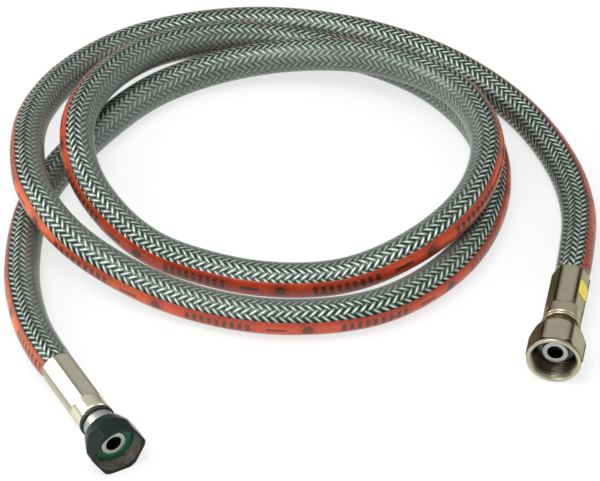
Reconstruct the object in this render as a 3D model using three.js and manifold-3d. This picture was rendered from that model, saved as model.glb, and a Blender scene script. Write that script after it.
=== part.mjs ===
// A flexible gas hose, coiled by hand into three loose turns and lying on a flat surface.
// Millimetres, +Z up. The surface is z = 0, and the origin is below the middle of the two end fittings.
import * as THREE from 'three';
import { mergeVertices } from 'three/addons/utils/BufferGeometryUtils.js';
import Module from 'manifold-3d';

const wasm = await Module();
wasm.setup();

// Gaps between pieces that touch, and round the swivel nuts
const seatGap = 0.3;
const swivelGap = 0.4;

// How finely round things and the hose's centre line are drawn
const roundSides = 24;
const hoseSides = 10;
const hoseSteps = 72;
const lineSamples = 2000;

// Points nearer than this are one point, and cutting tools stand this far out of what they cut
const mergeDistance = 1e-4;
const cutOvershoot = 1;

// The hose's layers, from the inside out
const tubeBore = 9.2;
const tubeWall = 1;
const braidWall = 0.5;
const sheathWall = 1.3;

// The coloured stripe in the sheath: how many of the hose's flats it takes, and where its middle lies
const stripeSides = 2;
const stripeMiddle = -82;

// The edges of the crimped ferrules
const ferruleEdge = 0.8;

// The nipples that carry the seals and hold the nuts. Each barb slopes over most of its pitch.
const tailBore = 5.8;
const tailWall = 0.85;
const tailInset = 3;
const barbCount = 5;
const barbSlope = 0.8;
const stemDiameter = 9.6;
const neckDiameter = 11;
const flangeThickness = 2.5;
const noseDiameter = 11.3;
const noseBore = 7;
const noseBoreDepth = 6;

// The swivel nuts, both for the same 20 mm thread
const nutAcrossFlats = 22;
const nutCornerDiameter = 25;
const threadMinorDiameter = 18.4;
const threadChamfer = 1.3;
const lipGrooveWidth = 0.5;
const lipGrooveDiameter = 21.4;
const lipDiameter = 24;

// What the pieces are made of
const finishes = {
  rubber: { color: 0x1c1c1d, roughness: 0.8, metalness: 0 },
  wire: { color: 0x9aa5a1, roughness: 0.35, metalness: 1 },
  clearPlastic: { color: 0xbfc8c4, roughness: 0.15, metalness: 0 },
  orangePlastic: { color: 0xe2512a, roughness: 0.3, metalness: 0 },
  warmNickel: { color: 0xb9b097, roughness: 0.3, metalness: 1 },
  brightNickel: { color: 0xd8d6c4, roughness: 0.3, metalness: 1 },
  blackPlate: { color: 0x232b2c, roughness: 0.35, metalness: 1 },
  blackRubber: { color: 0x101213, roughness: 0.5, metalness: 0 },
  greenRubber: { color: 0x0f6b45, roughness: 0.5, metalness: 0 },
  yellowFoil: { color: 0xe8cf3a, roughness: 0.5, metalness: 0 },
};

// The end fitting at the right, plain nickel, with a lipped nut
const right = {
  name: 'right',
  heading: -11.5,
  ferruleRoll: 0,
  ferruleAcrossFlats: 15.4,
  ferruleCornerDiameter: 17.2,
  ferruleEndDiameter: 17,
  hexLength: 25,
  roundLength: 7.5,
  ringDiameter: 17.6,
  ringThickness: 1.2,
  collarDiameter: neckDiameter,
  collarLength: 0,
  nutLength: 22,
  nutBackDiameter: 15.6,
  nutBackTaper: 9,
  nutBackWall: 9.5,
  nutFrontChamfer: 0,
  nutLip: 2,
  noseSetback: 5.6,
  sealThickness: 0,
  metal: finishes.warmNickel,
  nutFinish: finishes.warmNickel,
  ringFinish: finishes.brightNickel,
};

// The end fitting at the left, with a black nut, a black ring and a green seal
const left = {
  name: 'left',
  heading: 28.7,
  ferruleRoll: 42,
  ferruleAcrossFlats: 14.4,
  ferruleCornerDiameter: 15.6,
  ferruleEndDiameter: 15.4,
  hexLength: 29,
  roundLength: 8.5,
  ringDiameter: 15.8,
  ringThickness: 1.7,
  collarDiameter: 14.2,
  collarLength: 6.1,
  nutLength: 14,
  nutBackDiameter: 18.8,
  nutBackTaper: 8.5,
  nutBackWall: 3.1,
  nutFrontChamfer: 0.6,
  nutLip: 0,
  noseSetback: 5.4,
  sealThickness: 2,
  metal: finishes.brightNickel,
  nutFinish: finishes.blackPlate,
  ringFinish: finishes.blackRubber,
};

// The flat seal stands this far clear of the nut's thread
const sealClearance = 0.4;

// The plain label on a flat of the right ferrule
const labelLength = 9;
const labelWidth = 6.6;
const labelThickness = 0.3;
const labelStart = 7.5;

// The place of the coil's middle, seen from the origin
const coilPlace = new THREE.Vector3(-8.98, 88.4, 0);

// The hose's centre line from the right ferrule's mouth to the left ferrule's mouth, laid by hand.
// It winds inwards anticlockwise, and its inner end passes out under the two turns at the left.
const route = [
  [120, -31, 12], [122.4, -19, 12], [126.5, 18, 9.6], [121.5, 55, 8], [103, 97.5, 8], [68, 137, 8],
  [22, 161.5, 8], [-28, 168, 8], [-75, 155, 8.5], [-107.5, 122, 13], [-123.5, 81, 19], [-125, 43, 24],
  [-118.5, 12, 24.2], [-97.5, -16.5, 18.3], [-57, -39.5, 9.3], [-10, -52.5, 8], [35, -45.5, 8], [70, -15, 8],
  [88, 30, 8], [86, 77, 8], [62, 117.5, 8], [22, 143.4, 8], [-26, 150.6, 12], [-68, 132.5, 18],
  [-94, 97, 24], [-103, 60, 24.8], [-95.5, 27, 18], [-69, -4, 9], [-25, -25, 8], [18, -28, 10.5],
  [50, -17.5, 18.2], [76, 9, 24.2], [86, 52, 24.8], [72, 93, 24], [33, 123.5, 19.7], [-16, 133.7, 12],
  [-62, 118.5, 8], [-96.5, 79, 8], [-120, 30, 8], [-124, -20, 8], [-118, -56.2, 9.6], [-109.7, -78.4, 11],
  [-103.9, -89, 11],
];

// Radii of the layers, each one seated on the one inside it
const tubeInner = tubeBore / 2;
const tubeOuter = tubeInner + tubeWall;
const braidInner = tubeOuter + seatGap;
const braidOuter = braidInner + braidWall;
const sheathInner = braidOuter + seatGap;
const hoseRadius = sheathInner + sheathWall;

const radians = THREE.MathUtils.degToRad;
const hoseFlat = Math.cos(Math.PI / hoseSides);
const roundFlat = Math.cos(Math.PI / roundSides);

// Turns a closed mesh into a solid that can be joined and cut
function solid(geometry) {
  geometry.deleteAttribute('normal');
  geometry.deleteAttribute('uv');
  const merged = mergeVertices(geometry, mergeDistance);
  const corners = merged.index.array;
  const kept = [];
  for (let i = 0; i < corners.length; i += 3) {
    const [a, b, c] = [corners[i], corners[i + 1], corners[i + 2]];
    if (a !== b && b !== c && c !== a) {
      kept.push(a, b, c);
    }
  }
  const vertProperties = new Float32Array(merged.attributes.position.array);
  const triVerts = new Uint32Array(kept);
  return new wasm.Manifold(new wasm.Mesh({ numProp: 3, vertProperties, triVerts }));
}

// Turns a solid back into a named mesh
function meshOf(name, body, finish) {
  const { vertProperties, triVerts } = body.getMesh();
  const geometry = new THREE.BufferGeometry();
  geometry.setAttribute('position', new THREE.BufferAttribute(vertProperties, 3));
  geometry.setIndex(new THREE.BufferAttribute(triVerts, 1));
  geometry.computeVertexNormals();
  return named(name, geometry, finish);
}

function named(name, geometry, finish) {
  const mesh = new THREE.Mesh(geometry, new THREE.MeshStandardMaterial(finish));
  mesh.name = name;
  return mesh;
}

// A turned solid about +Y from pairs of radius and height, with a flat facing straight down. Its profile
// starts and ends on the axis.
function turned(profile) {
  const points = profile.map(([radius, height]) => new THREE.Vector2(radius, height));
  const geometry = new THREE.LatheGeometry(points, roundSides);
  geometry.rotateY(Math.PI / roundSides);
  return solid(geometry);
}

// A plain cylinder, and a bore whose flats clear the radius asked for
function rod(radius, from, to) {
  return turned([[0, from], [radius, from], [radius, to], [0, to]]);
}

function bore(radius, from, to) {
  return rod(radius / roundFlat, from, to);
}

function ring(inner, outer, from, to) {
  return rod(outer, from, to).subtract(bore(inner, from - cutOvershoot, to + cutOvershoot));
}

// A six-sided bar about +Y. At a roll of 0 one of its flats faces up.
function hexBar(acrossFlats, from, to, roll) {
  const shape = new THREE.Shape();
  const cornerRadius = acrossFlats / Math.sqrt(3);
  for (let i = 0; i < 6; i += 1) {
    const angle = radians(60 * i + roll);
    const corner = new THREE.Vector2(Math.cos(angle), Math.sin(angle)).multiplyScalar(cornerRadius);
    if (i === 0) {
      shape.moveTo(corner.x, corner.y);
    } else {
      shape.lineTo(corner.x, corner.y);
    }
  }
  const bar = new THREE.ExtrudeGeometry(shape, { depth: to - from, bevelEnabled: false });
  bar.rotateX(-Math.PI / 2);
  bar.translate(0, from, 0);
  return solid(bar);
}

// The way that an end fitting points, out of the hose
function outward(fitting) {
  const heading = radians(fitting.heading);
  return new THREE.Vector3(Math.sin(heading), -Math.cos(heading), 0);
}

// The hose's centre line: the laid route, with a straight piece inside each ferrule. A negative length
// stops the line that far short of the ferrules.
class HoseLine extends THREE.Curve {
  constructor(insideFerrule) {
    super();
    const places = route.map((point) => new THREE.Vector3(...point));
    this.inside = insideFerrule;
    this.laid = new THREE.CatmullRomCurve3(places, false, 'centripetal');
    this.laid.arcLengthDivisions = lineSamples;
    this.arcLengthDivisions = lineSamples;
    this.laidLength = this.laid.getLength();
  }

  getPoint(t, target = new THREE.Vector3()) {
    const along = t * (this.laidLength + 2 * this.inside) - this.inside;
    const laidAlong = THREE.MathUtils.clamp(along, 0, this.laidLength);
    this.laid.getPointAt(laidAlong / this.laidLength, target);
    target.z = Math.max(target.z, hoseRadius);
    const fitting = along < 0 ? right : left;
    return target.addScaledVector(outward(fitting), Math.abs(along - laidAlong));
  }
}

const freeLine = new HoseLine(-seatGap);
const stepLength = freeLine.laidLength / hoseSteps;
const fullLine = new HoseLine(stepLength);

// A point of the hose's section: its x faces down and its y faces the inside of the coil
function sectionPoint(radius, degrees) {
  return new THREE.Vector2(Math.cos(radians(degrees)), Math.sin(radians(degrees))).multiplyScalar(radius);
}

function arcPoints(radius, from, to, sides) {
  const points = [];
  for (let i = 0; i <= sides; i += 1) {
    points.push(sectionPoint(radius, THREE.MathUtils.lerp(from, to, i / sides)));
  }
  return points;
}

// A closed tube of the hose, and a part of one from one angle to another
function fullSection(inner, outer) {
  const shape = new THREE.Shape(arcPoints(outer, stripeMiddle, stripeMiddle + 360, hoseSides).slice(1));
  shape.holes.push(new THREE.Path(arcPoints(inner, stripeMiddle, stripeMiddle + 360, hoseSides).slice(1)));
  return shape;
}

function partSection(inner, outer, from, to, sides) {
  const outside = arcPoints(outer, from, to, sides);
  const inside = arcPoints(inner, to, from, sides);
  return new THREE.Shape([...outside, ...inside]);
}

function sweep(name, section, line, steps, finish) {
  const geometry = new THREE.ExtrudeGeometry(section, { steps, extrudePath: line, bevelEnabled: false });
  return named(name, geometry, finish);
}

function hose() {
  const group = new THREE.Group();
  const sideAngle = 360 / hoseSides;
  const stripeHalf = (stripeSides * sideAngle) / 2;
  const stripeFrom = stripeMiddle - stripeHalf;
  const stripeTo = stripeMiddle + stripeHalf;
  const edgeGap = THREE.MathUtils.radToDeg(seatGap / sheathInner);
  const tube = fullSection(tubeInner, tubeOuter);
  const braid = fullSection(braidInner, braidOuter);
  const clear = partSection(sheathInner, hoseRadius, stripeTo, stripeFrom + 360, hoseSides - stripeSides);
  const stripe = partSection(sheathInner, hoseRadius, stripeFrom + edgeGap, stripeTo - edgeGap, stripeSides);
  group.add(
    sweep('rubber_tube', tube, fullLine, hoseSteps + 2, finishes.rubber),
    sweep('steel_braid', braid, fullLine, hoseSteps + 2, finishes.wire),
    sweep('clear_sheath', clear, freeLine, hoseSteps, finishes.clearPlastic),
    sweep('orange_stripe', stripe, freeLine, hoseSteps, finishes.orangePlastic),
  );
  return group;
}

// Where the pieces of a fitting lie along its axis, measured outwards from its ferrule's mouth
function stationsOf(fitting) {
  const hoseEnd = stepLength;
  const ferruleEnd = fitting.hexLength + fitting.roundLength;
  const ringBack = ferruleEnd + seatGap;
  const ringFront = ringBack + fitting.ringThickness;
  const collarFront = ringFront + seatGap + fitting.collarLength;
  const nutBack = collarFront + swivelGap - seatGap;
  const nutFront = nutBack + fitting.nutLength;
  const flangeBack = nutBack + fitting.nutBackWall + swivelGap;
  const flangeFront = flangeBack + flangeThickness;
  const noseFront = nutFront - fitting.noseSetback;
  return {
    hoseEnd,
    ferruleEnd,
    ringBack,
    ringFront,
    collarFront,
    nutBack,
    nutFront,
    flangeBack,
    flangeFront,
    noseFront,
  };
}

// Crimped six-sided sleeve with a round end, bored for the hose and drilled for the nipple's stem
function ferrule(fitting, at) {
  const cornerRadius = fitting.ferruleCornerDiameter / 2;
  const endRadius = fitting.ferruleEndDiameter / 2;
  const hexLimit = turned([
    [0, 0],
    [cornerRadius - ferruleEdge, 0],
    [cornerRadius, ferruleEdge],
    [cornerRadius, fitting.hexLength],
    [0, fitting.hexLength + ferruleEdge],
  ]);
  const roundEnd = turned([
    [0, fitting.hexLength - ferruleEdge],
    [endRadius - ferruleEdge, fitting.hexLength - ferruleEdge],
    [endRadius, fitting.hexLength + ferruleEdge],
    [endRadius, at.ferruleEnd - ferruleEdge],
    [endRadius - ferruleEdge, at.ferruleEnd],
    [0, at.ferruleEnd],
  ]);
  const body = hexBar(fitting.ferruleAcrossFlats, 0, fitting.hexLength + ferruleEdge, fitting.ferruleRoll)
    .intersect(hexLimit)
    .add(roundEnd)
    .subtract(bore(sheathInner, -cutOvershoot, at.hoseEnd + seatGap))
    .subtract(bore(stemDiameter / 2 + seatGap, 0, at.ferruleEnd + cutOvershoot));
  return meshOf(`${fitting.name}_ferrule`, body, fitting.metal);
}

// Barbed tail, stem, neck, the flange that holds the nut, and the flat nose, bored right through
function nipple(fitting, at) {
  const tailRadius = tailBore / 2 + tailWall;
  const barbRadius = tubeInner * hoseFlat - seatGap;
  const barbPitch = (at.hoseEnd - tailInset) / barbCount;
  const stemRadius = stemDiameter / 2;
  const neckRadius = neckDiameter / 2;
  const collarRadius = fitting.collarDiameter / 2;
  const flangeRadius = threadMinorDiameter / 2 - swivelGap;
  const noseRadius = noseDiameter / 2;
  const profile = [[0, tailInset]];
  for (let i = 0; i < barbCount; i += 1) {
    profile.push([tailRadius, tailInset + barbPitch * i]);
    profile.push([barbRadius, tailInset + barbPitch * (i + barbSlope)]);
  }
  const outside = turned([
    ...profile,
    [tailRadius, at.hoseEnd + seatGap],
    [stemRadius, at.hoseEnd + 2 * seatGap],
    [stemRadius, at.ringBack],
    [neckRadius, at.ringBack],
    [neckRadius, at.ringFront + seatGap],
    [collarRadius, at.ringFront + seatGap],
    [collarRadius, at.collarFront],
    [neckRadius, at.collarFront],
    [neckRadius, at.flangeBack],
    [flangeRadius, at.flangeBack],
    [flangeRadius, at.flangeFront],
    [noseRadius, at.flangeFront],
    [noseRadius, at.noseFront],
    [0, at.noseFront],
  ]);
  const body = outside
    .subtract(bore(tailBore / 2, 0, at.noseFront))
    .subtract(bore(noseBore / 2, at.noseFront - noseBoreDepth, at.noseFront + cutOvershoot));
  return meshOf(`${fitting.name}_nipple`, body, fitting.metal);
}

// Six-sided swivel nut: a tapered back with the hole for the neck, a threaded mouth, and a lip on one of them
function nut(fitting, at) {
  const cornerRadius = nutCornerDiameter / 2;
  const limit = turned([
    [0, at.nutBack],
    [fitting.nutBackDiameter / 2, at.nutBack],
    [cornerRadius / roundFlat, at.nutBack + fitting.nutBackTaper],
    [cornerRadius / roundFlat, at.nutFront - fitting.nutFrontChamfer],
    [cornerRadius / roundFlat - fitting.nutFrontChamfer, at.nutFront],
    [0, at.nutFront],
  ]);
  let outside = hexBar(nutAcrossFlats, at.nutBack, at.nutFront, 0).intersect(limit);
  if (fitting.nutLip > 0) {
    const lipBack = at.nutFront - fitting.nutLip;
    const groove = ring(lipGrooveDiameter / 2, nutCornerDiameter, lipBack - lipGrooveWidth, lipBack);
    outside = outside.subtract(groove).add(rod(lipDiameter / 2 / roundFlat, lipBack, at.nutFront));
  }
  const threadRadius = threadMinorDiameter / 2;
  const mouth = turned([
    [0, at.nutFront - threadChamfer],
    [threadRadius / roundFlat, at.nutFront - threadChamfer],
    [threadRadius / roundFlat + threadChamfer, at.nutFront],
    [threadRadius / roundFlat + threadChamfer, at.nutFront + cutOvershoot],
    [0, at.nutFront + cutOvershoot],
  ]);
  const body = outside
    .subtract(bore(neckDiameter / 2 + swivelGap, at.nutBack - cutOvershoot, at.nutFront))
    .subtract(bore(threadRadius, at.nutBack + fitting.nutBackWall, at.nutFront))
    .subtract(mouth);
  return meshOf(`${fitting.name}_nut`, body, fitting.nutFinish);
}

// The thin ring between the ferrule and the nut
function neckRing(fitting, at) {
  const body = ring(neckDiameter / 2 + seatGap, fitting.ringDiameter / 2, at.ringBack, at.ringFront);
  return meshOf(`${fitting.name}_neck_ring`, body, fitting.ringFinish);
}

// The flat seal round the nose, on the front of the flange
function seal(fitting, at) {
  const back = at.flangeFront + seatGap;
  const outer = threadMinorDiameter / 2 - sealClearance;
  const body = ring(noseDiameter / 2 + seatGap, outer, back, back + fitting.sealThickness);
  return meshOf(`${fitting.name}_seal`, body, finishes.greenRubber);
}

// The plain label on the ferrule's flat that faces up and outwards
function label() {
  const box = new THREE.BoxGeometry(labelWidth, labelLength, labelThickness);
  box.translate(0, labelStart + labelLength / 2, right.ferruleAcrossFlats / 2 + seatGap + labelThickness / 2);
  box.rotateY(-Math.PI / 3);
  return named('right_label', box, finishes.yellowFoil);
}

function endFitting(fitting, mouth) {
  const group = new THREE.Group();
  const at = stationsOf(fitting);
  group.add(ferrule(fitting, at), nipple(fitting, at), neckRing(fitting, at), nut(fitting, at));
  if (fitting.sealThickness > 0) {
    group.add(seal(fitting, at));
  }
  group.position.set(...mouth);
  group.rotation.z = Math.PI + radians(fitting.heading);
  return group;
}

const rightEnd = endFitting(right, route[0]);
rightEnd.add(label());
const leftEnd = endFitting(left, route[route.length - 1]);

const gasHose = new THREE.Group();
gasHose.add(hose(), rightEnd, leftEnd);
gasHose.position.copy(coilPlace);

export default gasHose;
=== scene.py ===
import math

import bpy
import numpy as np
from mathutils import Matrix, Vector


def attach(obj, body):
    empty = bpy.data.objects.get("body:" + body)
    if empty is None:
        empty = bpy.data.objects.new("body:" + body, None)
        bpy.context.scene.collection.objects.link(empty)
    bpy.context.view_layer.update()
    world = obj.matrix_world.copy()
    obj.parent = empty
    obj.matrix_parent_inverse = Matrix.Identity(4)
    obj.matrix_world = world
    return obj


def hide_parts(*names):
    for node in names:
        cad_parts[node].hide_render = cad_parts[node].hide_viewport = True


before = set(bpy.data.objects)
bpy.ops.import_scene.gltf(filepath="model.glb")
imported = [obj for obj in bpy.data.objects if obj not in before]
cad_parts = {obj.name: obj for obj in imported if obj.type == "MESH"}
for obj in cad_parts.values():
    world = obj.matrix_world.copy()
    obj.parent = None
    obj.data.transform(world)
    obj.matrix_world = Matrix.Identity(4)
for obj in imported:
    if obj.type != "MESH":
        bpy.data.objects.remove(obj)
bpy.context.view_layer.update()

mm = 0.001

# Sizes of the hose itself, in metres. The coil's place is where the route's own zero point lies.
hose = {
    "coilPlace": (-0.00898, 0.0884, 0.0),
    "radius": 0.008,
    "sectionSides": 48,
    "stepLength": 0.003,
    "endGap": 0.0003,
    "lineSteps": 160,  # between two points of the route
    "pathSteps": 20,  # of those to one step of the cord's path
    "pinch": 0.09,  # share by which the ferrules squeeze it, over the length below
    "pinchLength": 0.0028,
    "hazeStart": math.radians(76),  # round from the stripe's middle
    "hazeReach": math.radians(40),
    # How strong the haze is at each share of the hose's length
    "hazeAlong": [(0.0, 0.3), (0.09, 0.3), (0.16, 0.8), (0.3, 1.0), (1.0, 1.0)],
}

# The centre line from the right ferrule's mouth to the left one's
route = [
    (0.12, -0.031, 0.012), (0.1224, -0.019, 0.012), (0.1265, 0.018, 0.0096), (0.1215, 0.055, 0.008),
    (0.103, 0.0975, 0.008), (0.068, 0.137, 0.008), (0.022, 0.1615, 0.008), (-0.028, 0.168, 0.008),
    (-0.075, 0.155, 0.0085), (-0.1075, 0.122, 0.013), (-0.1235, 0.081, 0.019), (-0.125, 0.043, 0.024),
    (-0.1185, 0.012, 0.0242), (-0.0975, -0.0165, 0.0183), (-0.057, -0.0395, 0.0093),
    (-0.01, -0.0525, 0.008), (0.035, -0.0455, 0.008), (0.07, -0.015, 0.008), (0.088, 0.03, 0.008),
    (0.086, 0.077, 0.008), (0.062, 0.1175, 0.008), (0.022, 0.1434, 0.008), (-0.026, 0.1506, 0.012),
    (-0.068, 0.1325, 0.018), (-0.094, 0.097, 0.024), (-0.103, 0.06, 0.0248), (-0.0955, 0.027, 0.018),
    (-0.069, -0.004, 0.009), (-0.025, -0.025, 0.008), (0.018, -0.028, 0.0105), (0.05, -0.0175, 0.0182),
    (0.076, 0.009, 0.0242), (0.086, 0.052, 0.0248), (0.072, 0.093, 0.024), (0.033, 0.1235, 0.0197),
    (-0.016, 0.1337, 0.012), (-0.062, 0.1185, 0.008), (-0.0965, 0.079, 0.008), (-0.12, 0.03, 0.008),
    (-0.124, -0.02, 0.008), (-0.118, -0.0562, 0.0096), (-0.1097, -0.0784, 0.011),
    (-0.1039, -0.089, 0.011),
]

camera = {"place": (-0.00898, -1.021, 0.9225), "downward": 39.5, "lens": 191.3, "sensor": 36, "reach": 20}


def placeCamera():
    data = bpy.data.cameras.new("camera")
    data.lens = camera["lens"]
    data.sensor_width = camera["sensor"]
    data.clip_end = camera["reach"]
    made = bpy.data.objects.new("camera", data)
    made.location = camera["place"]
    made.rotation_euler = (math.radians(90 - camera["downward"]), 0, 0)
    bpy.context.scene.collection.objects.link(made)
    bpy.context.scene.camera = made


placeCamera()
print("camera placed")


class Wire:  # a socket that Python's operators can join to others
    def __init__(self, paint, socket):
        self.paint = paint
        self.socket = socket

    def join(self, operation, first, second=0.0):
        made = self.paint.node("ShaderNodeMath", {"operation": operation}, {0: first, 1: second})
        return Wire(self.paint, made.outputs[0])

    def __add__(self, other):
        return self.join("ADD", self, other)

    __radd__ = __add__

    def __sub__(self, other):
        return self.join("SUBTRACT", self, other)

    def __rsub__(self, other):
        return self.join("SUBTRACT", other, self)

    def __mul__(self, other):
        return self.join("MULTIPLY", self, other)

    __rmul__ = __mul__

    def __truediv__(self, other):
        return self.join("DIVIDE", self, other)

    def __rtruediv__(self, other):
        return self.join("DIVIDE", other, self)

    def __gt__(self, other):
        return self.join("GREATER_THAN", self, other)

    def __lt__(self, other):
        return self.join("LESS_THAN", self, other)

    def wave(self):
        return self.join("SINE", self)

    def fraction(self):
        return self.join("FRACT", self)

    def size(self):
        return self.join("ABSOLUTE", self)


class Paint:  # one material, or the world, and its nodes
    def __init__(self, name, world=None):
        self.home = world or bpy.data.materials.new(name)
        self.home.use_nodes = True
        self.tree = self.home.node_tree
        self.tree.nodes.clear()

    def node(self, kind, settings=None, sockets=None):
        made = self.tree.nodes.new(kind)
        for key, value in (settings or {}).items():
            if key == "stops":
                ramp = made.color_ramp
                ramp.elements[0].position, ramp.elements[0].color = value[0]
                ramp.elements[1].position, ramp.elements[1].color = value[-1]
                for position, color in value[1:-1]:
                    ramp.elements.new(position).color = color
            else:
                setattr(made, key, value)
        for key, value in (sockets or {}).items():
            if isinstance(value, Wire):
                self.tree.links.new(value.socket, made.inputs[key])
            else:
                made.inputs[key].default_value = value
        return made

    def wire(self, kind, output, settings=None, sockets=None):
        return Wire(self, self.node(kind, settings, sockets).outputs[output])

    def spot(self):
        return self.wire("ShaderNodeTexCoord", "Object")

    def carried(self, name):
        return self.wire("ShaderNodeAttribute", "Fac", {"attribute_name": name})

    def noise(self, scale, detail):
        sockets = {"Vector": self.spot(), "Scale": scale, "Detail": detail}
        return self.wire("ShaderNodeTexNoise", "Fac", None, sockets)

    def ramp(self, value, stops):
        return self.wire("ShaderNodeValToRGB", "Color", {"stops": stops}, {"Fac": value})

    def blend(self, mask, first, second):
        settings = {"data_type": "RGBA"}
        made = self.node("ShaderNodeMix", settings, {0: mask, 6: first, 7: second})
        return Wire(self, made.outputs[2])

    def bump(self, height, strength, distance):
        sockets = {"Height": height, "Strength": strength, "Distance": distance}
        return self.wire("ShaderNodeBump", "Normal", None, sockets)

    def principled(self, **sockets):
        named = {key.replace("_", " "): value for key, value in sockets.items()}
        return self.wire("ShaderNodeBsdfPrincipled", "BSDF", None, named)

    def finish(self, shader, output="ShaderNodeOutputMaterial"):
        self.node(output, None, {"Surface": shader})
        return self.home


def rgb(red, green, blue):
    return (red, green, blue, 1.0)


def nickelPaint(name, color, shade, roughness, edgeShadeStrength=0.0, grazing=0.9):
    paint = Paint(name)
    cloud = paint.noise(220.0, 4.0)
    fine = paint.noise(1800.0, 2.0)
    plate = paint.blend(cloud, color, shade)
    # Painted shade: dark brown at the flats' edges and on the flats of the shaded side, where the plate
    # would reflect dark surroundings
    if edgeShadeStrength:
        paintedShadeMask = paint.carried("edge") * (edgeShadeStrength * (0.6 + cloud * 0.6))
        plate = paint.blend(paintedShadeMask, plate, rgb(0.065, 0.05, 0.036))
    # The inside mark paints shade into bores, threads and the nut's lip
    surface = paint.principled(
        Base_Color=paint.blend(paint.carried("inside") * 0.93, plate, rgb(0.02, 0.018, 0.014)),
        Metallic=1.0,
        Specular_Tint=rgb(grazing, grazing * 0.95, grazing * 0.85),
        Roughness=roughness + cloud * 0.12 + fine * 0.05,
        Normal=paint.bump(fine + cloud * 0.6, 0.12, 0.0002),
    )
    return paint.finish(surface)


def blackPlatePaint(name):
    paint = Paint(name)
    cloud = paint.noise(260.0, 4.0)
    fine = paint.noise(2200.0, 2.0)
    plate = paint.blend(cloud, rgb(0.003, 0.007, 0.007), rgb(0.011, 0.02, 0.019))
    worn = paint.carried("inside") * (0.1 + cloud * 0.9)  # bare metal shows in the thread
    surface = paint.principled(
        Base_Color=paint.blend(worn, plate, rgb(0.22, 0.19, 0.155)),
        Metallic=worn * 0.8,
        Specular_IOR_Level=0.14,
        Roughness=0.22 + cloud * 0.16,
        Normal=paint.bump(fine, 0.15, 0.0002),
    )
    return paint.finish(surface)


def rubberPaint(name, color, shade, roughness):
    paint = Paint(name)
    cloud = paint.noise(300.0, 4.0)
    fine = paint.noise(2600.0, 2.0)
    surface = paint.principled(
        Base_Color=paint.blend(cloud, color, shade),
        Roughness=roughness + cloud * 0.1,
        Normal=paint.bump(fine, 0.2, 0.0001),
    )
    return paint.finish(surface)


def wirePaint(name):
    paint = Paint(name)
    across = paint.carried("acrossBand")
    raised = paint.carried("raised")
    wires = (across * (math.pi * 5)).wave()
    tone = paint.noise(150.0, 3.0)
    # Painted light: bands go dark where they dip under others, for the shade there, and near white along
    # each float's raised middle, for a painted highlight
    shine = raised * (1.12 - across.size() * 0.95) * (0.65 + tone * 0.6)
    stops = [
        (0.0, rgb(0.018, 0.034, 0.03)), (0.3, rgb(0.1, 0.125, 0.112)), (0.62, rgb(0.36, 0.4, 0.37)),
        (1.0, rgb(0.92, 0.94, 0.9)),
    ]
    surface = paint.principled(
        Base_Color=paint.ramp(shine, stops),
        Metallic=0.85,
        Roughness=0.36 + tone * 0.12,
        Normal=paint.bump(wires, 0.4, 0.0001),
    )
    return paint.finish(surface)


def sheathPaint(name):
    paint = Paint(name)
    ripple = paint.noise(90.0, 2.0)
    bump = paint.bump(ripple, 0.05, 0.0005)
    shiny = {"Color": rgb(1, 1, 1), "Roughness": 0.14, "Normal": bump}
    gloss = paint.wire("ShaderNodeBsdfGlossy", 0, None, shiny)
    clear = paint.wire("ShaderNodeBsdfTransparent", 0, None, {"Color": rgb(0.93, 0.97, 0.94)})
    # A painted grey haze on the inner side of the coil, stronger where it is seen at a low angle, stands in
    # for the blur of light bent through the thick plastic
    cloud = paint.noise(120.0, 3.0)
    paintedHazeColor = paint.blend(cloud, rgb(0.13, 0.15, 0.13), rgb(0.2, 0.225, 0.2))
    paintedHaze = paint.principled(Base_Color=paintedHazeColor, Roughness=0.4)
    facing = paint.wire("ShaderNodeLayerWeight", "Facing", None, {"Blend": 0.5})
    haze = paint.carried("haze") * (0.32 + facing * 0.4)
    hazy = paint.wire("ShaderNodeMixShader", 0, None, {0: haze, 1: clear, 2: paintedHaze})
    edge = paint.wire("ShaderNodeFresnel", "Fac", None, {"IOR": 1.3})
    mixed = paint.wire("ShaderNodeMixShader", 0, None, {0: edge * 0.32 + 0.01, 1: hazy, 2: gloss})
    return paint.finish(mixed)


# The stripe's plain marks: a row of bars, a dash and a dot, again and again. Places and widths along
# the hose are shares of the period. Heights are shares of the stripe's half width.
marks = {
    "period": 0.066,  # metres
    "middle": 0.2,
    "barsEnd": 0.45,
    "barPitch": 0.0033,  # metres
    "barHalf": 0.28,  # as a share of the pitch
    "barHeight": 0.42,
    "dashPlace": 0.6,
    "dashHalf": 0.06,
    "dashHeight": 0.16,
    "dotPlace": 0.8,
    "dotStretch": 12.5,  # makes it round on the hose
    "dotSize": 0.2,
    "shade": 0.28,  # the ground is darker behind the bars and the dot
    "shadeBarsEnd": 0.48,
    "shadeDot": (0.74, 0.86),
    "thinAbove": 0.5,  # from here up the stripe lets the braid through
    "thinning": 0.9,
}


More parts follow.
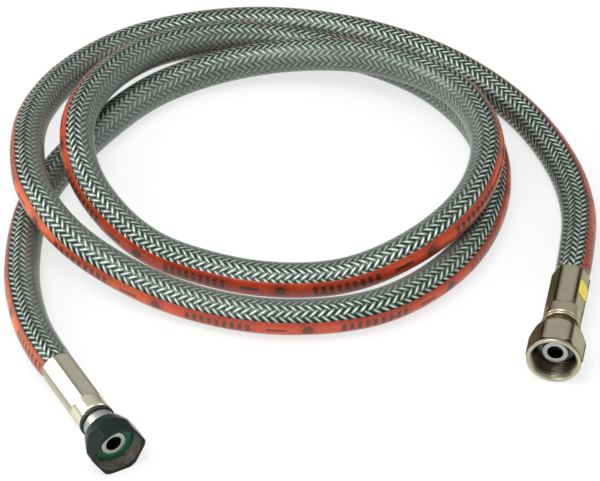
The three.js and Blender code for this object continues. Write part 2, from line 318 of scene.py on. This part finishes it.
def stripePaint(name):
    paint = Paint(name)
    along = paint.carried("alongHose")
    across = paint.carried("acrossStripe")
    place = (along / marks["period"]).fraction()
    height = across - marks["middle"]
    inPitch = (along / marks["barPitch"]).fraction() - 0.5
    bars = (place < marks["barsEnd"]) * (inPitch.size() < marks["barHalf"])
    bars = bars * (height.size() < marks["barHeight"])
    dash = ((place - marks["dashPlace"]).size() < marks["dashHalf"]) * (height.size() < marks["dashHeight"])
    dotAlong = (place - marks["dotPlace"]) * marks["dotStretch"]
    dot = (dotAlong * dotAlong + height * height) < marks["dotSize"]
    cloud = paint.noise(160.0, 3.0)
    smudge = paint.noise(900.0, 3.0)
    red = paint.blend(cloud, rgb(0.56, 0.04, 0.011), rgb(0.76, 0.085, 0.022))
    # Painted light: a lighter orange where the stripe faces the most light
    warm = paint.blend(cloud, rgb(0.72, 0.11, 0.03), rgb(0.88, 0.2, 0.07))
    orange = paint.blend(paint.carried("warm"), red, warm)
    shadeStart, shadeEnd = marks["shadeDot"]
    shadePlace = (place < marks["shadeBarsEnd"]) + (place > shadeStart) * (place < shadeEnd)
    printed = paint.blend(shadePlace * marks["shade"], orange, rgb(0.2, 0.024, 0.012))
    upperEdge = (across > marks["thinAbove"]) * (across - marks["thinAbove"]) * marks["thinning"]
    ink = (bars + dash + dot) * (0.7 + smudge * 0.3)
    surface = paint.principled(
        Base_Color=paint.blend(ink, printed, rgb(0.06, 0.02, 0.012)),
        Roughness=0.32 + cloud * 0.08,
        Alpha=1 - upperEdge - paint.carried("faded"),
        Normal=paint.bump(cloud, 0.05, 0.0004),
    )
    return paint.finish(surface)


def labelPaint(name):
    paint = Paint(name)
    cloud = paint.noise(500.0, 3.0)
    surface = paint.principled(
        Base_Color=paint.blend(cloud, rgb(0.74, 0.55, 0.03), rgb(0.82, 0.64, 0.07)),
        Roughness=0.4 + cloud * 0.1,
        Normal=paint.bump(cloud, 0.1, 0.0002),
    )
    return paint.finish(surface)


finishes = {
    "sheath": sheathPaint("clearSheathFinish"),
    "stripe": stripePaint("orangeStripeFinish"),
    "wire": wirePaint("braidWireFinish"),
    "core": rubberPaint("innerTubeFinish", rgb(0.012, 0.018, 0.015), rgb(0.02, 0.03, 0.025), 0.6),
    "nickel": nickelPaint("nickelFinish", rgb(0.46, 0.42, 0.29), rgb(0.62, 0.57, 0.42), 0.16, 1.1, 0.3),
    "brightNickel": nickelPaint(
        "brightNickelFinish", rgb(0.76, 0.73, 0.54), rgb(0.87, 0.84, 0.66), 0.14, 0.6, 0.7
    ),
    "noseMetal": nickelPaint("noseFinish", rgb(0.4, 0.41, 0.38), rgb(0.52, 0.53, 0.49), 0.34),
    "blackPlate": blackPlatePaint("blackPlateFinish"),
    "blackRubber": rubberPaint("blackRingFinish", rgb(0.01, 0.01, 0.01), rgb(0.02, 0.02, 0.02), 0.45),
    "greenRubber": rubberPaint("greenSealFinish", rgb(0.0, 0.1, 0.05), rgb(0.01, 0.15, 0.075), 0.42),
    "yellow": labelPaint("yellowLabelFinish"),
}
print("finishes made")


def meshPiece(name, points, faces, finish, values=None):
    mesh = bpy.data.meshes.new(name)
    mesh.from_pydata([tuple(point) for point in points], [], [tuple(face) for face in faces])
    mesh.update()
    mesh.polygons.foreach_set("use_smooth", [True] * len(mesh.polygons))
    for key, numbers in (values or {}).items():
        mesh.attributes.new(key, "FLOAT", "POINT").data.foreach_set("value", numbers)
    made = bpy.data.objects.new(name, mesh)
    made.data.materials.append(finish)
    bpy.context.scene.collection.objects.link(made)
    return made


def gridFaces(rows, columns, closeRows=False, closeColumns=False, start=0):
    faces = []
    for row in range(rows if closeRows else rows - 1):
        below = start + row * columns
        above = start + (row + 1) % rows * columns
        for column in range(columns if closeColumns else columns - 1):
            after = (column + 1) % columns
            faces.append((below + column, below + after, above + after, above + column))
    return faces


def laidLine(points, perStretch):
    # A centripetal curve through the points, as the solid model's own centre line
    given = np.array(points, float)
    before = 2 * given[0] - given[1]
    after = 2 * given[-1] - given[-2]
    padded = np.vstack([before, given, after])
    laid = []
    for first, second, third, fourth in zip(padded, padded[1:], padded[2:], padded[3:]):
        spanA = np.linalg.norm(second - first) ** 0.5
        spanB = np.linalg.norm(third - second) ** 0.5
        spanC = np.linalg.norm(fourth - third) ** 0.5
        leave = (second - first) / spanA - (third - first) / (spanA + spanB) + (third - second) / spanB
        arrive = (third - second) / spanB - (fourth - second) / (spanB + spanC) + (fourth - third) / spanC
        leave = leave * spanB
        arrive = arrive * spanB
        for part in np.arange(perStretch) / perStretch:
            square = part * part
            cube = square * part
            laid.append(
                second + leave * part + (3 * (third - second) - 2 * leave - arrive) * square
                + (2 * (second - third) + leave + arrive) * cube
            )
    laid.append(given[-1])
    return np.array(laid)


class HoseLine:  # the centre line, and points round it by distance along, angle and radius
    def __init__(self):
        laid = laidLine(route, hose["lineSteps"]) + np.array(hose["coilPlace"])
        laid[:, 2] = np.maximum(laid[:, 2], hose["radius"])
        steps = np.linalg.norm(np.diff(laid, axis=0), axis=1)
        self.along = np.concatenate([[0.0], np.cumsum(steps)])
        self.length = self.along[-1]
        self.points = laid
        forward = np.gradient(laid, self.along, axis=0)
        forward /= np.linalg.norm(forward, axis=1)[:, None]
        self.out = np.cross(forward, np.array([0.0, 0.0, 1.0]))
        self.out /= np.linalg.norm(self.out, axis=1)[:, None]
        self.up = np.cross(self.out, forward)

    def at(self, along, table):
        return np.stack([np.interp(along, self.along, table[:, axis]) for axis in range(3)], -1)

    def round(self, along, angle, radius):
        # Angle 0 faces out of the coil and a quarter turn faces up
        along, angle, radius = np.broadcast_arrays(along, angle, radius)
        fromEnd = np.minimum(along, self.length - along) / hose["pinchLength"]
        radius = radius * (1 - hose["pinch"] * np.exp(-fromEnd ** 2))
        sideways = self.at(along, self.out) * np.cos(angle)[..., None]
        upwards = self.at(along, self.up) * np.sin(angle)[..., None]
        return self.at(along, self.points) + (sideways + upwards) * radius[..., None]


line = HoseLine()
print(f"hose line {line.length:.4f} m")


def alongStripe(along, key):
    shares, amounts = zip(*stripe[key])
    return np.interp(along / line.length, shares, amounts)


def stripeMiddle(along):
    return np.radians(alongStripe(along, "middle"))


def hoseTube(name, radius, finish):
    sides = hose["sectionSides"]
    rows = round(line.length / hose["stepLength"]) + 1
    along = np.linspace(hose["endGap"], line.length - hose["endGap"], rows)[:, None]
    angle = np.arange(sides)[None, :] * (2 * math.pi / sides)
    points = line.round(along, angle, np.array(radius)).reshape(-1, 3)
    faces = gridFaces(rows, sides, closeColumns=True)
    faces.append(tuple(range(sides)))
    faces.append(tuple(reversed(range((rows - 1) * sides, rows * sides))))
    # The haze starts well away from the stripe's middle
    away = np.abs((angle - stripeMiddle(along) + math.pi) % (2 * math.pi) - math.pi)
    shares, strengths = zip(*hose["hazeAlong"])
    haze = np.clip((away - hose["hazeStart"]) / hose["hazeReach"], 0, 1)
    values = {"haze": (haze * np.interp(along / line.length, shares, strengths)).reshape(-1)}
    return meshPiece(name, points, [face[::-1] for face in faces], finish, values)


braid = {
    "bands": 16,  # in each direction
    "lay": 57.0 * mm,  # length of one turn of a band
    "radius": 7.35 * mm,
    "coreGap": 0.42 * mm,  # from the bands' middle down to the inner tube
    "bandWidth": 1.45 * mm,
    "rise": 0.21 * mm,  # how far a band swings in and out as it weaves
    "crown": 0.14 * mm,
    "steepness": 1.5,  # of the swing, which is flat along each float
    "samplesPerCrossing": 2,
}


def braidBands(name, turn):
    # Each band passes over two others and under two, and the floats line up along the hose
    bands = braid["bands"]
    crossing = braid["lay"] / (2 * bands)
    rows = round(line.length / crossing) * braid["samplesPerCrossing"] + 1
    along = np.linspace(0.0, line.length, rows)
    slope = math.atan(2 * math.pi * braid["radius"] / braid["lay"])
    across = np.array([-1.0, 0.0, 1.0])
    columns = len(across)
    points = []
    faces = []
    bandPlaces = []
    lifts = []
    for band in range(bands):
        place = 2 * band + turn * along / crossing
        swing = np.clip(braid["steepness"] * np.cos((place - 0.5) * math.pi / 2), -1, 1) * turn
        angle = 2 * math.pi * (band / bands + turn * along / braid["lay"])
        edge = across * braid["bandWidth"] / 2
        lineAlong = along[:, None] - turn * math.sin(slope) * edge[None, :]
        lineAngle = angle[:, None] + math.cos(slope) * edge[None, :] / braid["radius"]
        crown = braid["crown"] * (1 - np.abs(across))
        radius = braid["radius"] + braid["rise"] * swing[:, None] + crown[None, :]
        lineAlong = np.clip(lineAlong, hose["endGap"], line.length - hose["endGap"])
        faces.extend(gridFaces(rows, columns, start=len(points) * rows * columns))
        points.append(line.round(lineAlong, lineAngle, radius).reshape(-1, 3))
        bandPlaces.append(np.tile(across, rows))
        lifts.append(np.repeat(swing * 0.5 + 0.5, columns))
    values = {"acrossBand": np.concatenate(bandPlaces), "raised": np.concatenate(lifts)}
    return meshPiece(name, np.vstack(points), faces, finishes["wire"], values)


stripe = {
    # How far down the hose, as a share of its length, and how many degrees up its outer side
    "middle": [
        (0.0, 18), (0.027, 18), (0.048, 28), (0.16, 26), (0.213, 14), (0.259, 10), (0.277, 2),
        (0.297, -18), (0.376, -18), (0.402, -10), (0.429, 5), (0.455, 15), (0.481, 20), (0.585, 20),
        (0.607, 17), (0.626, -3), (0.649, -8), (0.7, -8), (0.72, -5), (0.741, 5), (0.765, 14),
        (0.789, 20), (0.902, 16), (0.94, 6), (0.96, 3), (0.98, 2), (1.0, 2),
    ],
    # Where the coil's back shows it faded, as a share of the hose's length and of its own strength
    "faded": [
        (0.0, 0.1), (0.03, 0.3), (0.07, 0.5), (0.25, 0.5), (0.285, 0.0), (0.45, 0.0), (0.48, 0.4),
        (0.58, 0.4), (0.62, 0.0), (0.75, 0.0), (0.79, 0.5), (0.95, 0.5), (0.98, 0.1), (1.0, 0.0),
    ],
    # Where painted light turns its red to a lighter orange
    "warm": [
        (0.0, 0.0), (0.26, 0.3), (0.285, 1.0), (0.3, 0.6), (0.33, 0.0), (0.61, 0.2), (0.63, 0.4),
        (0.66, 0.0), (0.95, 0.2), (0.98, 1.0), (1.0, 1.0),
    ],
    "halfWidth": math.radians(38),
    "outer": 7.94 * mm,
    "inner": 7.74 * mm,
    "columns": 16,
}


def stripeBand():
    rows = round(line.length / hose["stepLength"]) + 1
    along = np.linspace(hose["endGap"], line.length - hose["endGap"], rows)[:, None]
    across = np.linspace(-1, 1, stripe["columns"])
    angle = stripe["halfWidth"] * np.concatenate([across, across[::-1]])
    radius = np.repeat([stripe["outer"], stripe["inner"]], stripe["columns"])
    columns = len(angle)
    points = line.round(along, stripeMiddle(along) + angle[None, :], radius[None, :]).reshape(-1, 3)
    faces = gridFaces(rows, columns, closeColumns=True)
    faces.append(tuple(range(columns)))
    faces.append(tuple(reversed(range((rows - 1) * columns, rows * columns))))
    values = {
        "alongHose": np.repeat(along[:, 0], columns),
        "acrossStripe": np.tile(np.concatenate([across, across[::-1]]), rows),
        "faded": np.repeat(alongStripe(along[:, 0], "faded"), columns),
        "warm": np.repeat(alongStripe(along[:, 0], "warm"), columns),
    }
    return meshPiece("orangeStripe", points, [face[::-1] for face in faces], finishes["stripe"], values)


sheath = hoseTube("clearSheath", hose["radius"], finishes["sheath"])
core = hoseTube("innerTube", braid["radius"] - braid["coreGap"], finishes["core"])
bandsOneWay = braidBands("braidOneWay", 1)
bandsOtherWay = braidBands("braidOtherWay", -1)
stripePiece = stripeBand()
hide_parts("clear_sheath")
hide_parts("rubber_tube")
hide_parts("steel_braid")
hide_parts("steel_braid")
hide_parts("orange_stripe")
for piece, slotName in (
    (sheath, "clear_sheath"),
    (core, "rubber_tube"),
    (bandsOneWay, "steel_braid"),
    (bandsOtherWay, "steel_braid"),
    (stripePiece, "orange_stripe"),
):
    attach(piece, "hose")
print("hose layers made")

# Both end fittings, in millimetres from their ferrules' mouths
fitting = {
    "cornerSoftness": 0.22,
    "ferruleBore": 6.75,
    "boreEnd": 25.5,  # where the ferrule narrows to the stem
    "ferruleChamfer": 0.7,
    "mouthChamfer": 0.5,
    "shoulder": (0.9, 1.2, 0.75),  # where the flats end: two heights, and a lift
    "stemRadius": 4.8,
    "stemGap": 0.3,
    "barbs": 5,
    "barbStart": 3.0,
    "barbPitch": 4.4,
    "barbRise": 0.8,  # share of the pitch
    "barbRoot": 3.75,
    "barbTip": 4.05,
    "barbEnds": (25.4, 25.7),
    "neckRadius": 5.5,
    "neckGap": 0.3,
    "nutHoleGap": 0.4,
    "nutFlats": 22.0,
    "nutCorners": 25.0,
    "threadMinor": 9.2,
    "threadDepth": 0.8,
    "threadPitch": 1.5,
    "threadSteepness": 1.7,
    "threadRoot": 0.35,
    "threadFade": (1.0, 0.6),  # at its inner and its outer end
    "threadChamfer": 1.3,
    "noseRadius": 5.65,
    "noseBore": 3.5,
    "noseBright": 1.2,  # how deep the bore stays free of painted shade, and where it narrows
    "noseDepth": 6,
    "tailBore": 2.9,
    "flangeRadius": 8.8,
    "flangeGap": 0.4,
    "sealRadius": 8.8,
    "sealThickness": 2,
    "sealGap": 0.3,
    "lipRadius": 12.0,
    "grooveRadius": 10.6,  # behind the lip
    "grooveWidth": 0.55,
    "grooveSlope": 0.15,
    "lipShade": (0.5, 0.4, 0.2),  # how much painted shade the lip takes at its back, its front edge and its mouth
    "mouthShade": 0.85,
    "darkDepth": 4,  # how far in from the nut's mouth its thread takes the inside mark in full: painted shade on a plated nut, bare metal on a black one
    "edgeReach": 1.0,  # how far the painted edge shade reaches from the flats' edges
    "shadeDepth": 1.5,  # how far in below the flats it still counts
}
rightEnd = {
    "name": "right",
    "mouth": route[0],
    "heading": -11.5,
    "ferruleRoll": 0,
    "ferruleFlats": 15.4,
    "ferruleCorners": 17.2,
    "ferruleEnd": 17.0,
    "hexLength": 25.0,
    "roundLength": 7.5,
    "ring": (32.8, 34.0, 8.8),
    "collar": (34.0, 34.3, 5.5),
    "nut": (34.4, 56.4),
    "nutBackRadius": 7.8,
    "nutBackTaper": 9.0,
    "nutFrontChamfer": 0.3,
    "nutLip": 2.0,
    "flange": (44.3, 46.8),
    "nose": 50.8,
    "shadedSide": 150,  # the flats that face this way get painted shade
    "sideShadeStrength": 0.68,
    "ferruleFinish": "nickel",
    "nippleFinish": "noseMetal",
    "ringFinish": "nickel",
    "nutFinish": "nickel",
}
leftEnd = {
    "name": "left",
    "mouth": route[-1],
    "heading": 28.7,
    "ferruleRoll": 42,
    "ferruleFlats": 14.4,
    "ferruleCorners": 15.6,
    "ferruleEnd": 15.4,
    "hexLength": 29.0,
    "roundLength": 8.5,
    "ring": (37.8, 39.5, 7.9),
    "collar": (39.8, 45.9, 7.1),
    "nut": (46.0, 60.0),
    "nutBackRadius": 9.4,
    "nutBackTaper": 8.5,
    "nutFrontChamfer": 0.6,
    "nutLip": 0.0,
    "flange": (49.5, 52.0),
    "nose": 54.6,
    "shadedSide": 192,
    "sideShadeStrength": 0.3,
    "ferruleFinish": "brightNickel",
    "nippleFinish": "noseMetal",
    "ringFinish": "blackRubber",
    "nutFinish": "blackPlate",
}


def softened(outline, softness):
    # Rounds every corner of a closed outline of (radius, height, lift over the flats, inside)
    parts = 3
    most = 0.4  # share of a side that the rounding may take
    outline = [list(corner) + [0.0] * (4 - len(corner)) for corner in outline]
    made = []
    count = len(outline)
    for index, corner in enumerate(outline):
        here = np.array(corner, float)
        back = np.array(outline[index - 1], float)
        ahead = np.array(outline[(index + 1) % count], float)
        toBack = np.linalg.norm((back - here)[:2])
        toAhead = np.linalg.norm((ahead - here)[:2])
        reach = min(softness, most * toBack, most * toAhead)
        first = here + (back - here) * (reach / toBack)
        last = here + (ahead - here) * (reach / toAhead)
        for part in np.linspace(0, 1, parts + 1):
            made.append(first * (1 - part) ** 2 + here * 2 * part * (1 - part) + last * part ** 2)
    return made


def divided(outline, longest):
    made = []
    for index, here in enumerate(outline):
        ahead = outline[(index + 1) % len(outline)]
        parts = max(1, math.ceil(np.linalg.norm((ahead - here)[:2]) / longest))
        for part in range(parts):
            made.append(here + (ahead - here) * part / parts)
    return np.array(made)


def flatsRadius(angle, acrossFlats, roll):
    # A hexagon's reach at each angle, with softly rounded corners
    softness = 0.12  # millimetres
    total = np.zeros_like(angle)
    for side in range(6):
        turn = np.cos(angle - math.radians(90 + 60 * side + roll))
        reach = acrossFlats / 2 / np.maximum(turn, 0.3)
        total += np.exp(-(reach - acrossFlats / 2) / softness)
    return acrossFlats / 2 - softness * np.log(total)


def fittingAxes(end):
    heading = math.radians(end["heading"])
    outward = np.array([math.sin(heading), -math.cos(heading), 0.0])
    side = np.array([math.cos(heading), math.sin(heading), 0.0])
    up = np.array([0.0, 0.0, 1.0])
    mouth = np.array(end["mouth"]) + np.array(hose["coilPlace"])
    return mouth, outward, side, up


def smallerOf(radius, limit):
    # The smaller one of the two, with a soft change from one to the other, in millimetres
    softness = 0.08
    farOff = 2  # from here on the limit doesn't count
    base = 5  # keeps the powers small
    powers = np.exp(-(radius - base) / softness) + np.exp(-(limit - base) / softness)
    return np.where(limit - radius > farOff, radius, -softness * np.log(powers) + base)


def threadedRadius(radius, height, angle, thread):
    start, stop, minor = thread
    phase = (height / fitting["threadPitch"] - angle[None, :] / (2 * math.pi)) % 1
    slope = fitting["threadSteepness"] * (1 - np.abs(2 * phase - 1))
    ridge = np.clip(slope - fitting["threadRoot"], 0, 1)  # flat at its root and its crest
    fadeIn, fadeOut = fitting["threadFade"]
    fade = np.clip((height - start) / fadeIn, 0, 1) * np.clip((stop - height) / fadeOut, 0, 1)
    wall = np.abs(radius - minor) < 0.02
    return radius + np.where(wall, fitting["threadDepth"] * ridge * fade, 0)


def paintedEdgeShade(end, points, angle, flats, roll):
    # Painted shade, for dark reflections: strongest at the flats' edges, and all over the flats that face
    # the shaded side
    turn = 60  # degrees from one edge to the next
    fromEdge = np.abs((np.degrees(angle) - turn - roll + turn / 2) % turn - turn / 2)
    edge = np.exp(-(fromEdge * math.pi / 180 * flats / 2 / fitting["edgeReach"]) ** 2)
    shadedHere = np.abs((np.degrees(angle) - end["shadedSide"] + 180) % 360 - 180) < turn / 2
    edge = np.maximum(edge, shadedHere * end["sideShadeStrength"])
    reach, _, lift, inside = points.T
    outside = (lift < 0.3) & (inside < 0.01) & (reach > flats / 2 - fitting["shadeDepth"])
    return np.outer(outside, edge)


def turnedPiece(
    end, part, outline, finish, body, node, flats=100.0, roll=0, thread=None, turns=96, longest=0.8
):
    # Turns a closed outline about the fitting's axis. Its flats cut in where lift allows.
    points = divided(softened(outline, fitting["cornerSoftness"]), longest)
    angle = np.arange(turns) * (2 * math.pi / turns)
    limit = flatsRadius(angle, flats, roll)[None, :] + points[:, 2][:, None]
    radius = smallerOf(np.broadcast_to(points[:, 0][:, None], limit.shape), limit)
    height = np.broadcast_to(points[:, 1][:, None], radius.shape)
    if thread:
        radius = threadedRadius(radius, height, angle, thread)
    mouth, outward, side, up = fittingAxes(end)
    spread = np.cos(angle)[None, :, None] * side + np.sin(angle)[None, :, None] * up
    places = mouth + mm * (radius[..., None] * spread + height[..., None] * outward)
    faces = gridFaces(len(points), turns, closeRows=True, closeColumns=True)
    values = {
        "inside": np.repeat(points[:, 3], turns),
        "edge": paintedEdgeShade(end, points, angle, flats, roll).reshape(-1),
    }
    piece = meshPiece(f"{end['name']}{part}", places.reshape(-1, 3), faces, finishes[finish], values)
    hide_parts(node)
    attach(piece, body)
    return piece


free = 99.0  # a lift that keeps the flats out


def ferrule(end):
    corner = end["ferruleCorners"] / 2
    roundRadius = end["ferruleEnd"] / 2
    bore = fitting["ferruleBore"]
    stem = fitting["stemRadius"] + fitting["stemGap"]
    chamfer = fitting["ferruleChamfer"]
    hexEnd = end["hexLength"]
    last = hexEnd + end["roundLength"]
    taperEnd, roundStart, taperLift = fitting["shoulder"]
    outline = [
        (bore, 0.0, 0.0), (corner - fitting["mouthChamfer"], 0.0, 0.0), (corner, chamfer, 0.0),
        (corner, hexEnd, 0.0), (roundRadius, hexEnd + taperEnd, taperLift),
        (roundRadius, hexEnd + roundStart, free), (roundRadius, last - chamfer, free),
        (roundRadius - chamfer, last, free), (stem, last, free), (stem, fitting["boreEnd"], free),
        (bore, fitting["boreEnd"], free),
    ]
    return turnedPiece(
        end, "Ferrule", outline, end["ferruleFinish"], "hose", f"{end['name']}_ferrule",
        end["ferruleFlats"], end["ferruleRoll"], turns=180, longest=0.7,
    )


def nipple(end):
    start = fitting["barbStart"]
    pitch = fitting["barbPitch"]
    root = fitting["barbRoot"]
    # A fourth number of 1 marks the bore, which takes painted shade
    outline = [(fitting["tailBore"], start, free, 1)]
    for barb in range(fitting["barbs"]):
        outline.append((root, start + pitch * barb, free))
        outline.append((fitting["barbTip"], start + pitch * (barb + fitting["barbRise"]), free))
    collarBack, collarFront, collarRadius = end["collar"]
    flangeBack, flangeFront = end["flange"]
    neck = fitting["neckRadius"]
    flange = fitting["flangeRadius"]
    nose = fitting["noseRadius"]
    noseBore = fitting["noseBore"]
    stem = fitting["stemRadius"]
    ringBack = end["ring"][0]
    tailEnd, stemStart = fitting["barbEnds"]
    bright = end["nose"] - fitting["noseBright"]
    narrow = end["nose"] - fitting["noseDepth"]
    outline += [
        (root, tailEnd, free), (stem, stemStart, free), (stem, ringBack, free), (neck, ringBack, free),
        (neck, collarBack, free),
    ]
    if collarRadius > neck:
        outline += [(collarRadius, collarBack, free), (collarRadius, collarFront, free)]
        outline.append((neck, collarFront, free))
    outline += [
        (neck, flangeBack, free), (flange, flangeBack, free), (flange, flangeFront, free),
        (nose, flangeFront, free), (nose, end["nose"], free), (noseBore, end["nose"], free),
        (noseBore, bright, free, 1), (noseBore, narrow, free, 1), (fitting["tailBore"], narrow, free, 1),
    ]
    node = f"{end['name']}_nipple"
    return turnedPiece(end, "Nipple", outline, end["nippleFinish"], "hose", node, longest=1.5)


def neckRing(end):
    back, front, radius = end["ring"]
    inner = fitting["neckRadius"] + fitting["neckGap"]
    outline = [(inner, back, free), (radius, back, free), (radius, front, free), (inner, front, free)]
    node = f"{end['name']}_neck_ring"
    return turnedPiece(end, "NeckRing", outline, end["ringFinish"], "hose", node)


def swivelNut(end):
    back, front = end["nut"]
    corner = fitting["nutCorners"] / 2
    lip = fitting["lipRadius"]
    lipBack = front - end["nutLip"]
    chamfer = end["nutFrontChamfer"]
    groove = fitting["grooveRadius"]
    grooveBack = lipBack - fitting["grooveWidth"]
    hole = fitting["neckRadius"] + fitting["nutHoleGap"]
    minor = fitting["threadMinor"]
    mouth = minor + fitting["threadChamfer"]
    threadStart = end["flange"][0] - fitting["flangeGap"]
    threadStop = front - fitting["threadChamfer"]
    taperEnd = back + end["nutBackTaper"]
    outline = [(hole, back, 0.0), (end["nutBackRadius"], back, 0.0), (corner, taperEnd, 0.0)]
    # On a plated nut the inside mark paints shade on the lip, the mouth and the thread; on a black nut it
    # shows bare metal in the thread
    if end["nutLip"] > 0:
        backShade, edgeShade, frontShade = fitting["lipShade"]
        outline += [
            (corner, grooveBack - fitting["grooveSlope"], 0.0), (groove, grooveBack, 0.0),
            (groove, lipBack, 0.0), (lip, lipBack + 0.1, free, backShade),
            (lip, front - chamfer, free, edgeShade), (lip - chamfer, front, free),
            (mouth, front, free, frontShade),
        ]
    else:
        outline += [(corner, front - chamfer, 0.0), (corner - chamfer, front, 0.0), (mouth, front, 0.0)]
    outline += [
        (minor, threadStop, 0.0, fitting["mouthShade"]), (minor, front - fitting["darkDepth"], 0.0, 1),
        (minor, threadStart, 0.0, 1), (hole, threadStart, 0.0, 1),
    ]
    node = f"{end['name']}_nut"
    return turnedPiece(
        end, "Nut", outline, end["nutFinish"], node, node, fitting["nutFlats"], 0,
        (threadStart, threadStop, minor), turns=240, longest=0.25,
    )


def flatSeal(end):
    back = end["flange"][1] + fitting["sealGap"]
    front = back + fitting["sealThickness"]
    inner = fitting["noseRadius"] + fitting["sealGap"]
    outer = fitting["sealRadius"]
    outline = [(inner, back, free), (outer, back, free), (outer, front, free), (inner, front, free)]
    return turnedPiece(end, "Seal", outline, "greenRubber", "hose", f"{end['name']}_seal")


label = {
    "length": 9.0,
    "width": 6.6,
    "start": 7.5,
    "side": 30,
    "above": 0.02,
    "thickness": 0.3,
    "cornerPower": 7,
    "outlinePoints": 64,
    # From the middle of its back round its edge to the middle of its face: shares of reach and of thickness
    "rings": [(0.0, 0.0), (1.0, 0.0), (1.0, 0.6), (0.985, 0.86), (0.95, 1.0), (0.5, 1.0), (0.0, 1.0)],
}


def yellowLabel(end):
    # A flat patch with rounded corners and edges, stuck on one of the ferrule's flats
    middle = label["start"] + label["length"] / 2
    corners = label["outlinePoints"]
    power = label["cornerPower"]
    turn = np.arange(corners) * (2 * math.pi / corners)
    reach = (np.abs(np.cos(turn)) ** power + np.abs(np.sin(turn)) ** power) ** (-1 / power)
    base = end["ferruleFlats"] / 2 + label["above"]
    facing = math.radians(label["side"])
    mouth, outward, side, up = fittingAxes(end)
    normal = math.cos(facing) * side + math.sin(facing) * up
    across = -math.sin(facing) * side + math.cos(facing) * up
    points = []
    for share, lift in label["rings"]:
        for spin, far in zip(turn, reach * share):
            flat = across * (far * math.cos(spin) * label["width"] / 2)
            long = outward * (middle + far * math.sin(spin) * label["length"] / 2)
            points.append(mouth + mm * (flat + long + normal * (base + lift * label["thickness"])))
    faces = gridFaces(len(label["rings"]), corners, closeColumns=True)
    piece = meshPiece("yellowLabel", points, faces, finishes["yellow"])
    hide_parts("right_label")
    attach(piece, "hose")


def endFitting(end):
    return [ferrule(end), nipple(end), neckRing(end), swivelNut(end)]


endFitting(rightEnd)
leftPieces = [*endFitting(leftEnd), flatSeal(leftEnd)]  # they ride along on the hose's far end
yellowLabel(rightEnd)
print("end fittings made")

studio = {
    "floorSize": 6.0,
    "floorPlace": -0.0002,
    "floorColor": (0.84, 0.84, 0.84),
    "whiteShare": 0.72,  # how much of the floor's look is plain white, over its shadows
    "skyLow": 0.3,
    "skyHigh": 0.75,
    "lampsFace": (0, 0.05, 0),
}
lamps = {
    "overhead": {"place": (-0.35, -0.35, 1.5), "size": 0.95, "watts": 16.0},
    "front": {"place": (-0.9, -1.4, 0.75), "size": 0.8, "watts": 7.5},
    "side": {"place": (1.3, 0.2, 0.9), "size": 0.9, "watts": 4.0},
    "left": {"place": (-1.22, 0.25, 0.7), "size": 0.75, "watts": 7.5},
}


def layFloor():
    # The camera, mirrors and clear pieces see a nearly white floor, which still carries the shadow
    paint = Paint("floorFinish")
    rays = paint.node("ShaderNodeLightPath")
    seen = Wire(paint, rays.outputs["Is Camera Ray"]) + Wire(paint, rays.outputs["Is Glossy Ray"])
    seen = seen + Wire(paint, rays.outputs["Is Transmission Ray"])
    surface = paint.principled(Base_Color=rgb(*studio["floorColor"]), Roughness=0.7)
    white = paint.wire("ShaderNodeEmission", 0, None, {"Color": rgb(1, 1, 1), "Strength": 1.0})
    share = seen * studio["whiteShare"]
    mixed = paint.wire("ShaderNodeMixShader", 0, None, {0: share, 1: surface, 2: white})
    half = studio["floorSize"] / 2
    low = studio["floorPlace"]
    corners = [(-half, -half, low), (half, -half, low), (half, half, low), (-half, half, low)]
    floor = meshPiece("studioFloor", corners, [(0, 1, 2, 3)], paint.finish(mixed))


def lightWorld():
    world = bpy.data.worlds.new("studioWorld")
    bpy.context.scene.world = world
    paint = Paint("studioWorld", world)
    low, high = studio["skyLow"], studio["skyHigh"]
    place = paint.wire("ShaderNodeTexCoord", "Generated")
    height = paint.wire("ShaderNodeSeparateXYZ", "Z", None, {0: place})
    sky = paint.ramp(height, [(0.0, rgb(low, low, low)), (1.0, rgb(high, high, high))])
    glow = paint.wire("ShaderNodeBackground", 0, None, {"Color": sky, "Strength": 1.0})
    paint.finish(glow, "ShaderNodeOutputWorld")


def hangLamps():
    for name, lamp in lamps.items():
        data = bpy.data.lights.new(name, "AREA")
        data.size = lamp["size"]
        data.energy = lamp["watts"]
        made = bpy.data.objects.new(name, data)
        made.location = lamp["place"]
        towards = Vector(studio["lampsFace"]) - Vector(lamp["place"])
        made.rotation_euler = towards.to_track_quat("-Z", "Y").to_euler()
        bpy.context.scene.collection.objects.link(made)


layFloor()
lightWorld()
hangLamps()
bpy.context.scene.view_settings.view_transform = "Standard"
print("studio set")
